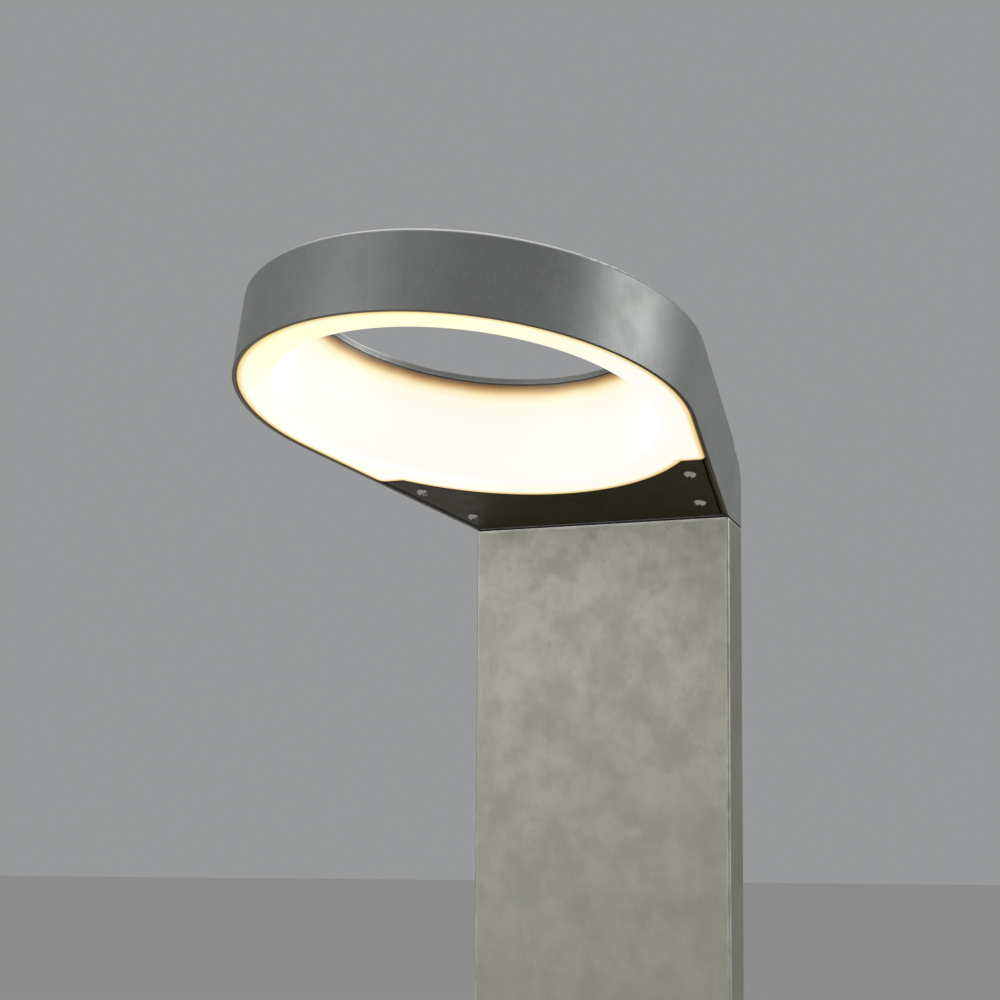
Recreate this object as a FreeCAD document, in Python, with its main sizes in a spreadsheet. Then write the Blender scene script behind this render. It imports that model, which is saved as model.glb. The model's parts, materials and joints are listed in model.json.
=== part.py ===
import FreeCAD, Part

import math
import os
from types import SimpleNamespace

import Sketcher

# Garden path light: a thin folded post on a flange plate carries a cantilevered ring head with an opal
# diffuser. Millimetres, +Z up, the head reaches out towards -Y, and the origin is the centre of the
# flange plate's underside.
#
# The head is drawn in its own frame: x across, y back towards the post, z square to the head's
# underside. That frame's origin is the top front edge of the post, and it is tipped by head_slope.
# Ring pieces are drawn about the ring's axis, which stands ring_reach in front of that edge.

DIMENSIONS = {
    # foot and post
    "foot_width": 200.0,
    "foot_depth": 170.0,
    "foot_thick": 8.0,
    "foot_corner": 12.0,
    "foot_margin": 13.5,
    "anchor_span_x": 164.0,
    "anchor_span_y": 134.0,
    "anchor_radius": 5.5,
    "post_width": 175.0,
    "post_depth": 23.0,
    "post_height": 620.0,
    "post_corner": 3.5,
    "post_front_corner": 1.6,
    "sheet": 2.0,
    "cap_thick": 5.0,
    "joint_gap": 1.0,
    "gasket_inset": 1.5,
    "cable_hole": 6.0,
    "cable_radius": 3.5,
    # head
    "head_slope": 14.0,
    "flare": 15.6,
    "flare_bend": 15.0,
    "ring_reach": 185.0,
    "wall_height": 49.3,
    "edge_round": 3.0,
    "back_round": 31.0,
    "hole_radius": 112.0,
    "rim_radius": 102.0,
    "rim_height": 64.0,
    "rim_lip": 3.5,
    "crown_foot": 132.0,
    "top_opening": 116.5,
    "floor_thick": 4.0,
    # diffuser and its seat
    "lens_thick": 3.0,
    "lens_lift": 0.5,
    "lens_gap": 0.35,
    "lens_bulge": 135.4,
    "lens_shoulder": 97.5,
    "lens_corner": 6.0,
    "collar_top": 59.5,
    "collar_radius": 102.5,
    "collar_wall": 2.5,
    "seal_thick": 1.5,
    "ledge_thick": 2.0,
    "ledge_width": 8.0,
    # light ring
    "carrier_inner": 112.0,
    "carrier_outer": 126.5,
    "carrier_thick": 3.0,
    "carrier_bolt_circle": 122.7,
    "board_inner": 112.2,
    "board_outer": 119.8,
    "board_thick": 1.6,
    "led_circle": 116.0,
    "led_length": 3.5,
    "led_width": 2.8,
    "led_thick": 0.8,
    "baffle_top": 40.0,
    # service plate
    "plate_thick": 3.0,
    "plate_lift": 0.3,
    "plate_gap": 1.5,
    "plate_rear": 1.2,
    "rail_fit": 0.1,
    "rail_flange": 1.5,
    "rail_thick": 3.0,
    "rail_width": 20.0,
    "rail_start": 2.0,
    "rail_end": 80.5,
    "flange_end": 86.5,
    "screw_inset": 15.1,
    "screw_rear": 22.8,
    "screw_front": 68.0,
    # gear
    "tray_thick": 1.5,
    "driver_width": 100.0,
    "driver_depth": 36.0,
    "driver_height": 24.0,
    "lead_radius": 0.75,
}


class Size:
    """A number together with the spreadsheet formula that it comes from."""

    def __init__(self, value, formula):
        self.value = float(value)
        self.formula = formula

    def __float__(self):
        return self.value

    def __add__(self, other):
        return combine(self, other, "+", self.value + float(other))

    def __radd__(self, other):
        return combine(other, self, "+", float(other) + self.value)

    def __sub__(self, other):
        return combine(self, other, "-", self.value - float(other))

    def __rsub__(self, other):
        return combine(other, self, "-", float(other) - self.value)

    def __mul__(self, other):
        return combine(self, other, "*", self.value * float(other))

    def __rmul__(self, other):
        return combine(other, self, "*", float(other) * self.value)

    def __truediv__(self, other):
        return combine(self, other, "/", self.value / float(other))

    def __neg__(self):
        return -1.0 * self


def formula_of(size):
    return size.formula if isinstance(size, Size) else repr(float(size))


def combine(first, second, sign, value):
    return Size(value, "(%s %s %s)" % (formula_of(first), sign, formula_of(second)))


def sine(angle):
    return Size(math.sin(math.radians(float(angle))), "sin(%s)" % formula_of(angle))


def cosine(angle):
    return Size(math.cos(math.radians(float(angle))), "cos(%s)" % formula_of(angle))


def tangent(angle):
    return Size(math.tan(math.radians(float(angle))), "tan(%s)" % formula_of(angle))


def root(size):
    return Size(math.sqrt(float(size)), "sqrt(%s)" % formula_of(size))


def fill_sheet():
    """Write the driving dimensions into the spreadsheet, one alias per row."""
    sheet = doc.addObject("Spreadsheet::Sheet", "dims")
    for row, (alias, value) in enumerate(DIMENSIONS.items(), start=1):
        sheet.set("A%d" % row, alias)
        sheet.set("B%d" % row, str(value))
        sheet.setAlias("B%d" % row, alias)
    sizes = {alias: Size(value, "<<dims>>.%s" % alias) for alias, value in DIMENSIONS.items()}
    return SimpleNamespace(**sizes)


doc = FreeCAD.newDocument("path_light")
d = fill_sheet()
doc.recompute()

half_width = d.post_width / 2
front_y = d.foot_depth / 2 - d.foot_margin - d.post_depth
post_mid_y = front_y + d.post_depth / 2
slope_sin = sine(d.head_slope)
slope_cos = cosine(d.head_slope)
slope_tan = tangent(d.head_slope)
flare_sin = sine(d.flare)
flare_cos = cosine(d.flare)
ring_radius = d.ring_reach * flare_sin + half_width * flare_cos
ceiling = d.wall_height - d.sheet
floor_screw_y = 10.5
nodes = []


# ---------------------------------------------------------------- building blocks


def bind(item, name, size):
    """Set a property, and tie it to the sheet when the size comes from there."""
    if isinstance(size, Size):
        item.setExpression(name, size.formula)
    else:
        item.setExpression(name, repr(float(size)))


def new_body(name):
    return doc.addObject("PartDesign::Body", name)


def new_sketch(body, role="XY_Plane", lift=0.0):
    sketch = body.newObject("Sketcher::SketchObject", "sketch")
    plane = next(item for item in body.Origin.OriginFeatures if item.Role == role)
    sketch.AttachmentSupport = [(plane, "")]
    sketch.MapMode = "FlatFace"
    bind(sketch, "AttachmentOffset.Base.z", lift)
    return sketch


def pin_point(sketch, geometry, position, x, y):
    """Hold one point of a sketch at x and y from the sketch's origin."""
    for kind, size in (("DistanceX", x), ("DistanceY", y)):
        held = sketch.addConstraint(Sketcher.Constraint(kind, -1, 1, geometry, position, float(size)))
        bind(sketch, "Constraints[%d]" % held, size)


def pin_radius(sketch, geometry, radius):
    held = sketch.addConstraint(Sketcher.Constraint("Radius", geometry, float(radius)))
    bind(sketch, "Constraints[%d]" % held, radius)


def draw_outline(sketch, corners):
    """Draw a closed outline. A corner is (x, y), or (x, y, radius, centre, turn) where an arc leaves it."""
    ends = []
    for index, corner in enumerate(corners):
        following = corners[(index + 1) % len(corners)]
        start = FreeCAD.Vector(float(corner[0]), float(corner[1]), 0)
        end = FreeCAD.Vector(float(following[0]), float(following[1]), 0)
        if len(corner) == 2:
            geometry = sketch.addGeometry(Part.LineSegment(start, end))
            ends.append((geometry, 1, 2))
            continue
        radius, centre, turn = corner[2:]
        middle = FreeCAD.Vector(float(centre[0]), float(centre[1]), 0)
        circle = Part.Circle(middle, FreeCAD.Vector(0, 0, 1), float(radius))
        first, last = (start, end) if turn > 0 else (end, start)
        low = math.atan2(first.y - middle.y, first.x - middle.x)
        high = math.atan2(last.y - middle.y, last.x - middle.x)
        past_low = high if high > low else high + 2 * math.pi
        geometry = sketch.addGeometry(Part.ArcOfCircle(circle, low, past_low))
        ends.append((geometry, 1, 2) if turn > 0 else (geometry, 2, 1))
    for index, corner in enumerate(corners):
        geometry, start_point, end_point = ends[index]
        following = ends[(index + 1) % len(ends)]
        joined = Sketcher.Constraint("Coincident", geometry, end_point, following[0], following[1])
        sketch.addConstraint(joined)
        pin_point(sketch, geometry, start_point, corner[0], corner[1])
        if len(corner) > 2:
            pin_radius(sketch, geometry, corner[2])


def draw_circle(sketch, x, y, radius):
    middle = FreeCAD.Vector(float(x), float(y), 0)
    geometry = sketch.addGeometry(Part.Circle(middle, FreeCAD.Vector(0, 0, 1), float(radius)))
    pin_point(sketch, geometry, 3, x, y)
    pin_radius(sketch, geometry, radius)


def rectangle(left, right, low, high):
    return [(left, low), (right, low), (right, high), (left, high)]


def pad(body, sketch, length):
    feature = body.newObject("PartDesign::Pad", "pad")
    feature.Profile = sketch
    bind(feature, "Length", length)
    doc.recompute()
    return feature


def cut_through(body, sketch):
    """Cut a sketch both ways through the whole body, and make sure that it takes something away."""
    before = body.Shape.Volume
    feature = body.newObject("PartDesign::Pocket", "cut")
    feature.Profile = sketch
    feature.Type = "ThroughAll"
    feature.SideType = "Symmetric"
    doc.recompute()
    if not body.Shape.Volume < before:
        raise RuntimeError("a cut in %s takes nothing away" % body.Name)


def cut_depth(body, sketch, depth, upwards):
    """Cut a sketch to a depth, along or against the sketch's normal."""
    before = body.Shape.Volume
    feature = body.newObject("PartDesign::Pocket", "recess")
    feature.Profile = sketch
    feature.Reversed = upwards
    bind(feature, "Length", depth)
    doc.recompute()
    if not body.Shape.Volume < before:
        raise RuntimeError("a recess in %s takes nothing away" % body.Name)


def revolve(body, corners):
    """Turn an outline, given as radius and height, about the body's own z axis."""
    sketch = new_sketch(body, "XZ_Plane")
    draw_outline(sketch, corners)
    feature = body.newObject("PartDesign::Revolution", "revolution")
    feature.Profile = sketch
    feature.ReferenceAxis = (sketch, ["V_Axis"])
    feature.Angle = 360
    doc.recompute()


def round_edges(body, chosen, radius):
    """Round the body's edges for which chosen(edge) is true."""
    base = body.Tip
    names = ["Edge%d" % (n + 1) for n, edge in enumerate(base.Shape.Edges) if chosen(edge)]
    feature = body.newObject("PartDesign::Fillet", "fillet")
    feature.Base = (base, names)
    bind(feature, "Radius", radius)
    doc.recompute()


def upright(edge):
    return edge.BoundBox.XLength < 0.01 and edge.BoundBox.YLength < 0.01


def place(item, x=0.0, y=0.0, z=0.0):
    """Put an item at a point of the row frame."""
    for axis, size in zip("xyz", (x, y, z)):
        bind(item, "Placement.Base.%s" % axis, size)


def place_on_head(item, x=0.0, forward=0.0, lift=0.0):
    """Put an item in the head's tipped frame, forward of the post's front edge and lifted off its top."""
    axis = FreeCAD.Vector(1, 0, 0)
    item.Placement = FreeCAD.Placement(FreeCAD.Vector(), FreeCAD.Rotation(axis, -float(d.head_slope)))
    bind(item, "Placement.Rotation.Angle", -d.head_slope)
    y = front_y - forward * slope_cos + lift * slope_sin
    z = d.post_height + forward * slope_sin + lift * slope_cos
    place(item, x, y, z)


def place_on_ring(item, lift=0.0):
    place_on_head(item, forward=d.ring_reach, lift=lift)


def boolean(kind, name, base, tool):
    item = doc.addObject("Part::%s" % kind, name)
    item.Base = base
    item.Tool = tool
    doc.recompute()
    return item


def group(name, piece, spots):
    """A node of separate, identical solids: linked copies of a piece at each (x, y, z, turn)."""
    links = []
    for x, y, z, turn in spots:
        link = doc.addObject("App::Link", "copy")
        link.LinkedObject = piece
        rotation = FreeCAD.Rotation(FreeCAD.Vector(0, 0, 1), turn)
        link.Placement = FreeCAD.Placement(FreeCAD.Vector(float(x), float(y), float(z)), rotation)
        links.append(link)
    item = doc.addObject("Part::Compound", name)
    item.Links = links
    doc.recompute()
    return item


def keep(item, label):
    """Count an object as a sub-part: its label names its file."""
    item.Label = label
    nodes.append(item)


def plate_body(name, outlines, lift, thick, circles=()):
    """A flat body between its outlines, with round holes, from lift upwards."""
    body = new_body(name)
    sketch = new_sketch(body, lift=lift)
    for corners in outlines:
        draw_outline(sketch, corners)
    for x, y, radius in circles:
        draw_circle(sketch, x, y, radius)
    pad(body, sketch, thick)
    return body


def ring_body(name, inner, outer, lift, thick, circles=()):
    return plate_body(name, [], lift, thick, [(0, 0, inner), (0, 0, outer), *circles])


def around(count, radius, start=0.0):
    """Evenly spaced points (x, y, angle) on a circle about the origin."""
    points = []
    for index in range(count):
        angle = start + 360.0 * index / count
        points.append((radius * cosine(angle), radius * sine(angle), angle))
    return points


# ---------------------------------------------------------------- outlines of the head


def wall_x(forward, inset):
    """Half the head's width at a distance in front of the post, inset square from the flared wall."""
    return half_width + forward * tangent(d.flare) - inset / flare_cos


def head_plan(inset):
    """Plan of the head: straight over the post, bent out to the flare, round at the ring."""
    side = half_width - inset
    radius = ring_radius - inset
    touch_x = radius * flare_cos
    touch_y = radius * flare_sin - d.ring_reach
    back = d.post_depth / slope_cos + 5
    bend = d.flare_bend + inset
    bend_x = half_width + d.flare_bend
    bend_y = d.flare_bend * tangent(d.flare / 2)
    flare_x = bend_x - bend * flare_cos
    flare_y = bend_y - bend * flare_sin
    return [
        (-side, back),
        (-side, bend_y, bend, (-bend_x, bend_y), -1),
        (-flare_x, flare_y),
        (-touch_x, touch_y, radius, (0, -d.ring_reach), 1),
        (touch_x, touch_y),
        (flare_x, flare_y, bend, (bend_x, bend_y), -1),
        (side, bend_y),
        (side, back),
    ]


def back_cut(inset):
    """Side view of what the head's upright, rounded back leaves off."""
    below = 1.0
    clear = 12.0
    top = d.wall_height - inset
    radius = d.back_round - inset
    foot = (d.post_depth - inset) / slope_cos
    corner = foot - top * slope_tan
    run = radius * tangent(45 - d.head_slope / 2)
    far = d.post_depth / slope_cos + clear
    centre = (corner - run, top - radius)
    return [
        (foot + below * slope_tan, -below),
        (corner + run * slope_sin, top - run * slope_cos, radius, centre, 1),
        (corner - run, top),
        (corner - run, top + clear),
        (far, top + clear),
        (far, -below),
    ]


def lens_plan(inset):
    """Plan of the diffuser about the ring's axis: round in front, two shoulders and a bulge at the back."""
    radius = ring_radius - d.sheet - inset
    bulge = d.lens_bulge - inset
    shoulder = d.lens_shoulder - inset
    touch_x = radius * flare_cos
    touch_y = radius * flare_sin
    outer_x = (radius - shoulder * flare_sin) / flare_cos
    inner_x = root(bulge * bulge - shoulder * shoulder)
    return [
        (-touch_x, touch_y, radius, (0, 0), 1),
        (touch_x, touch_y),
        (outer_x, shoulder),
        (inner_x, shoulder, bulge, (0, 0), 1),
        (-inner_x, shoulder),
        (-outer_x, shoulder),
    ]


def service_plan(inset):
    """Plan of the service plate in the head's frame: between the rails, up to the diffuser's back edge."""
    gap = 0.5
    start = d.plate_rear + inset
    end = d.ring_reach - d.lens_shoulder - gap - inset
    edge = d.sheet + d.rail_fit + d.rail_flange + d.plate_gap + inset
    bulge = d.lens_bulge + gap + inset
    reach = d.ring_reach - end
    inner_x = root(bulge * bulge - reach * reach)
    return [
        (-wall_x(start, edge), -start),
        (-wall_x(end, edge), -end),
        (-inner_x, -end, bulge, (0, -d.ring_reach), -1),
        (inner_x, -end),
        (wall_x(end, edge), -end),
        (wall_x(start, edge), -start),
    ]


# ---------------------------------------------------------------- screws


def cross_outline(reach, half):
    """Plus sign of the cross recess."""
    quarter = [(half, -half), (reach, -half), (reach, half), (half, half)]
    corners = []
    for quadrant in range(4):
        for x, y in quarter[1:]:
            for _ in range(quadrant):
                x, y = -y, x
            corners.append((x, y))
    return corners


def hexagon(across_flats):
    radius = across_flats / math.sqrt(3)
    angles = [math.radians(60 * n) for n in range(6)]
    return [(radius * math.cos(angle), radius * math.sin(angle)) for angle in angles]


def pan_screw(name, head_radius, head_height, shank_radius, shank_length):
    """Domed screw with its head hanging below z = 0, and a cross recess."""
    body = new_body(name)
    dome = (head_radius ** 2 + head_height ** 2) / (2 * head_height)
    revolve(body, [
        (0, shank_length),
        (shank_radius, shank_length),
        (shank_radius, 0),
        (head_radius, 0, dome, (0, dome - head_height), -1),
        (0, -head_height),
    ])
    sketch = new_sketch(body, lift=-head_height)
    draw_outline(sketch, cross_outline(head_radius * 0.5, head_radius * 0.12))
    cut_depth(body, sketch, head_height * 0.55, upwards=True)
    return body


def socket_screw(name, head_radius, head_height, shank_radius, shank_length):
    """Cylinder-head screw standing on z = 0, with a hexagon socket."""
    body = new_body(name)
    revolve(body, [
        (0, -shank_length),
        (shank_radius, -shank_length),
        (shank_radius, 0),
        (head_radius, 0),
        (head_radius, head_height),
        (0, head_height),
    ])
    sketch = new_sketch(body, lift=head_height)
    draw_outline(sketch, hexagon(head_radius))
    cut_depth(body, sketch, head_height * 0.5, upwards=False)
    return body


# ---------------------------------------------------------------- foot and post


def make_base_plate():
    body = new_body("base_plate")
    sketch = new_sketch(body)
    draw_outline(sketch, rectangle(-d.foot_width / 2, d.foot_width / 2, -d.foot_depth / 2, d.foot_depth / 2))
    pad(body, sketch, d.foot_thick)
    round_edges(body, upright, d.foot_corner)
    holes = new_sketch(body)
    for side in (-1, 1):
        for end in (-1, 1):
            draw_circle(holes, side * d.anchor_span_x / 2, end * d.anchor_span_y / 2, d.anchor_radius)
    draw_circle(holes, 0, post_mid_y, d.cable_hole)
    cut_through(body, holes)
    keep(body, "base_plate")


def tube_plan(inset):
    back_y = front_y + d.post_depth
    return rectangle(-half_width + inset, half_width - inset, front_y + inset, back_y - inset)


def mitre_cut(depth, clear=20.0):
    """Side view of what lies above a plane parallel to the head, depth below its underside."""
    front = front_y - clear
    back = front_y + d.post_depth + clear
    level = d.post_height - depth / slope_cos
    return [
        (front, level + clear * slope_tan),
        (back, level - (d.post_depth + clear) * slope_tan),
        (back, level + 2 * clear),
        (front, level + 2 * clear),
    ]


def make_post_tube():
    body = new_body("post_tube")
    outer = new_sketch(body, lift=d.foot_thick)
    draw_outline(outer, tube_plan(0.0))
    pad(body, outer, d.post_height - d.foot_thick)
    middle = float(post_mid_y)
    round_edges(body, lambda edge: upright(edge) and edge.BoundBox.YMin > middle, d.post_corner)
    round_edges(body, lambda edge: upright(edge) and edge.BoundBox.YMin < middle, d.post_front_corner)
    inner = new_sketch(body)
    draw_outline(inner, tube_plan(d.sheet))
    cut_through(body, inner)
    top = new_sketch(body, "YZ_Plane")
    draw_outline(top, mitre_cut(d.joint_gap))
    cut_through(body, top)
    keep(body, "post_tube")


def floor_screw_spots():
    return [(x, floor_screw_y) for x in (-70.0, -30.0, 30.0, 70.0)]


def make_post_cap():
    """Plate welded inside the top of the post, level with its mitred end."""
    slice_depth = 25.0
    body = new_body("cap_blank")
    sketch = new_sketch(body, lift=d.post_height - slice_depth)
    draw_outline(sketch, tube_plan(d.sheet))
    pad(body, sketch, slice_depth)
    holes = [(x, y, 3.0) for x, y in floor_screw_spots()] + [(0, floor_screw_y, d.cable_hole - 1.5)]
    slab = plate_body("cap_slab", [rectangle(-half_width, half_width, -20, 40)], 0.0, d.cap_thick, holes)
    place_on_head(slab, lift=-d.joint_gap - d.cap_thick)
    keep(boolean("Common", "post_cap", body, slab), "post_cap")


def make_bush(name, low, high):
    """Rubber cable bush with its flange on top of the plate."""
    flange = 1.5
    body = new_body(name)
    revolve(body, [
        (d.cable_radius, low),
        (d.cable_hole, low),
        (d.cable_hole, high),
        (d.cable_hole + 1, high),
        (d.cable_hole + 1, high + flange),
        (d.cable_radius, high + flange),
    ])
    keep(body, name)
    return body


def make_joint_gasket():
    edge = half_width - d.gasket_inset
    back = d.post_depth / slope_cos - d.gasket_inset
    holes = [(x, y, 3.3) for x, y in floor_screw_spots()] + [(0, floor_screw_y, d.cable_hole + 0.5)]
    outline = rectangle(-edge, edge, d.gasket_inset, back)
    body = plate_body("joint_gasket", [outline], 0.0, d.joint_gap, holes)
    place_on_head(body, lift=-d.joint_gap)
    keep(body, "joint_gasket")


# ---------------------------------------------------------------- head


def head_block(name, inset):
    """Solid of the head's outside, or of the room inside its sheet."""
    body = new_body(name)
    sketch = new_sketch(body)
    draw_outline(sketch, head_plan(inset))
    pad(body, sketch, d.wall_height - inset)
    side = new_sketch(body, "YZ_Plane")
    draw_outline(side, back_cut(inset))
    cut_through(body, side)

    def on_top_or_back(edge):
        box = edge.BoundBox
        across = box.YLength < 0.01 and box.ZLength < 0.01
        return box.ZMax > 1 and not upright(edge) and not across

    round_edges(body, on_top_or_back, d.edge_round - inset)
    return body


def carrier_spots():
    return around(6, d.carrier_bolt_circle, start=30.0)


def make_head_shell():
    hollow = boolean("Cut", "head_sheet", head_block("head_outside", 0.0), head_block("head_room", d.sheet))
    circles = [(x, y - d.ring_reach, 1.5) for x, y, _ in carrier_spots()]
    circles.append((0, -d.ring_reach, d.top_opening))
    openings = new_body("head_openings")
    for x, y, radius in circles:
        sketch = new_sketch(openings, lift=ceiling - 1)
        draw_circle(sketch, x, y, radius)
        pad_separate(openings, sketch, d.sheet + 2)
    shell = boolean("Cut", "head_shell", hollow, openings)
    place_on_head(shell)
    keep(shell, "head_shell")


def pad_separate(body, sketch, length):
    """A pad that may stand apart from the rest of its body."""
    body.AllowCompound = True
    pad(body, sketch, length)


def crown_height(radius):
    """Height of the crown's outside at a radius."""
    rise = (d.rim_height - d.wall_height) / (d.crown_foot - d.rim_radius)
    return d.wall_height + (d.crown_foot - radius) * rise


def make_crown_ring():
    lip_edge = d.rim_radius + 1.5
    run = (d.crown_foot - d.rim_radius) / (d.rim_height - d.wall_height)
    body = new_body("crown_ring")
    revolve(body, [
        (d.crown_foot, d.wall_height),
        (d.rim_radius, d.rim_height),
        (d.rim_radius, d.rim_height - d.rim_lip),
        (lip_edge, d.rim_height - d.rim_lip),
        (lip_edge, crown_height(lip_edge) - d.sheet),
        (d.crown_foot - d.sheet * run, d.wall_height),
    ])
    place_on_ring(body)
    keep(body, "crown_ring")


def make_head_floor():
    edge = half_width - d.sheet - 0.3
    back = d.post_depth / slope_cos - d.sheet - 1.2
    holes = [(x, y, 3.3) for x, y in floor_screw_spots()] + [(0, floor_screw_y, d.cable_hole)]
    body = plate_body("head_floor", [rectangle(-edge, edge, -0.8, back)], 0.0, d.floor_thick, holes)
    place_on_head(body)
    keep(body, "head_floor")


def make_head_fixings():
    washer_thick = 1.6
    washer = ring_body("washer", 3.2, 5.5, 0.0, washer_thick)
    spots = [(x, y, d.floor_thick, 0) for x, y in floor_screw_spots()]
    washers = group("head_washers", washer, spots)
    place_on_head(washers)
    keep(washers, "head_washers")
    lift = d.floor_thick + washer_thick
    length = float(lift + d.joint_gap + d.cap_thick) - 0.2
    screw = socket_screw("head_screw", 5.0, 6.0, 3.0, length)
    screws = group("head_screws", screw, [(x, y, lift, 0) for x, y in floor_screw_spots()])
    place_on_head(screws)
    keep(screws, "head_screws")


# ---------------------------------------------------------------- diffuser and its seat


def make_diffuser():
    body = new_body("diffuser")
    sketch = new_sketch(body, lift=d.lens_lift)
    draw_outline(sketch, lens_plan(d.lens_gap))
    draw_circle(sketch, 0, 0, d.hole_radius)
    pad(body, sketch, d.lens_thick)

    def outer_shoulder(edge):
        return upright(edge) and edge.BoundBox.YMin > 90 and abs(edge.BoundBox.XMin) > 100

    round_edges(body, outer_shoulder, d.lens_corner)
    revolve(body, [
        (d.hole_radius, d.lens_lift),
        (d.hole_radius + d.collar_wall, d.lens_lift),
        (d.collar_radius + d.collar_wall, d.collar_top),
        (d.collar_radius, d.collar_top),
    ])
    place_on_ring(body)
    keep(body, "diffuser")


def make_lens_seat():
    seal_lift = d.lens_lift + d.lens_thick
    seal = plate_body("lens_seal", [lens_plan(1.2), lens_plan(6.5)], seal_lift, d.seal_thick)
    ledge_lift = seal_lift + d.seal_thick
    plans = [lens_plan(0.1), lens_plan(d.ledge_width)]
    ledge = plate_body("lens_ledge", plans, ledge_lift, d.ledge_thick)
    lip = d.rim_height - d.rim_lip
    seal_outer = d.collar_radius + 1
    collar_seal = ring_body("collar_seal", d.collar_radius, seal_outer, d.collar_top, lip - d.collar_top)
    for body in (seal, ledge, collar_seal):
        place_on_ring(body)
        keep(body, body.Name)


def make_light_baffle():
    """Thin wall on the ledge, along the diffuser's back edge, that keeps light out of the gear room."""
    outer = 5.0
    inner = 6.2
    foot = d.lens_lift + d.lens_thick + d.seal_thick + d.ledge_thick
    near = d.lens_shoulder - outer
    far = d.lens_shoulder - inner
    wall = ring_radius - d.sheet - 0.2
    near_end = (wall - near * flare_sin) / flare_cos
    far_end = (wall - far * flare_sin) / flare_cos
    near_bulge = d.lens_bulge - outer
    far_bulge = d.lens_bulge - inner
    near_x = root(near_bulge * near_bulge - near * near)
    far_x = root(far_bulge * far_bulge - far * far)
    outline = [
        (far_end, far),
        (near_end, near),
        (near_x, near, near_bulge, (0, 0), 1),
        (-near_x, near),
        (-near_end, near),
        (-far_end, far),
        (-far_x, far, far_bulge, (0, 0), -1),
        (far_x, far),
    ]
    body = plate_body("light_baffle", [outline], foot, d.baffle_top - foot)
    place_on_ring(body)
    keep(body, "light_baffle")


# ---------------------------------------------------------------- light ring


def make_light_ring():
    carrier_lift = ceiling - d.carrier_thick
    holes = [(x, y, 1.7) for x, y, _ in carrier_spots()]
    carrier = ring_body(
        "led_carrier", d.carrier_inner, d.carrier_outer, carrier_lift, d.carrier_thick, holes
    )
    board_lift = carrier_lift - d.board_thick
    board = ring_body("led_board", d.board_inner, d.board_outer, board_lift, d.board_thick)
    led = doc.addObject("Part::Box", "led")
    bind(led, "Length", d.led_width)
    bind(led, "Width", d.led_length)
    bind(led, "Height", d.led_thick)
    led_lift = board_lift - d.led_thick
    leds = group("leds", led, [(x, y, led_lift, angle) for x, y, angle in around(36, d.led_circle)])
    screw = pan_screw("carrier_screw", 2.6, 1.8, 1.5, 4.8)
    screws = group("carrier_screws", screw, [(x, y, carrier_lift, angle) for x, y, angle in carrier_spots()])
    for item in (carrier, board, leds, screws):
        place_on_ring(item)
        keep(item, item.Name)


# ---------------------------------------------------------------- service plate


def plate_screw_spots():
    spots = []
    for side in (-1, 1):
        for forward in (d.screw_rear, d.screw_front):
            spots.append((side * wall_x(forward, d.screw_inset), -forward))
    return spots


def make_service_plate():
    holes = [(x, y, 2.2) for x, y in plate_screw_spots()]
    plate = plate_body("service_plate", [service_plan(0.0)], d.plate_lift, d.plate_thick, holes)
    gasket_lift = d.plate_lift + d.plate_thick
    gasket = plate_body("plate_gasket", [service_plan(1.5), service_plan(6.5)], gasket_lift, d.seal_thick)
    screw = pan_screw("plate_screw", 4.0, 2.6, 2.0, 9.5)
    screws = group("plate_screws", screw, [(x, y, d.plate_lift, 20) for x, y in plate_screw_spots()])
    for item in (plate, gasket, screws):
        place_on_head(item)
        keep(item, item.Name)


def make_plate_rail(name, side):
    """Threaded strip along one wall, with a flange whose lower edge shows beside the wall's rim."""
    strip_low = d.plate_lift + d.plate_thick + d.seal_thick
    strip_high = strip_low + d.rail_thick
    flange_high = strip_low + 15.0
    edge = d.sheet + d.rail_fit

    def strip(width, end):
        near = [(wall_x(forward, edge), -forward) for forward in (d.rail_start, end)]
        far = [(wall_x(forward, edge + width), -forward) for forward in (end, d.rail_start)]
        return [(side * x, y) for x, y in near + far]

    body = new_body(name)
    parts = [
        (d.rail_width, d.rail_end, strip_low, strip_high),
        (d.rail_flange, d.flange_end, d.plate_lift, flange_high),
    ]
    for width, end, low, high in parts:
        sketch = new_sketch(body, lift=low)
        draw_outline(sketch, strip(width, end))
        pad(body, sketch, high - low)
    holes = new_sketch(body)
    for x, y in plate_screw_spots():
        if float(x) * side > 0:
            draw_circle(holes, x, y, 2.0)
    cut_through(body, holes)
    place_on_head(body)
    keep(body, name)


# ---------------------------------------------------------------- gear in the neck of the head


def block(name, across, forward, upwards, rounding, circles=()):
    """Box between pairs of limits in the head's frame, with rounded corners and round holes."""
    outline = rectangle(across[0], across[1], -forward[1], -forward[0])
    body = plate_body(name, [outline], upwards[0], upwards[1] - upwards[0], circles)

    def corner(edge):
        at_side = min(abs(edge.BoundBox.XMin - float(x)) for x in across) < 0.01
        return upright(edge) and at_side

    round_edges(body, corner, rounding)
    place_on_head(body)
    keep(body, name)


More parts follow.
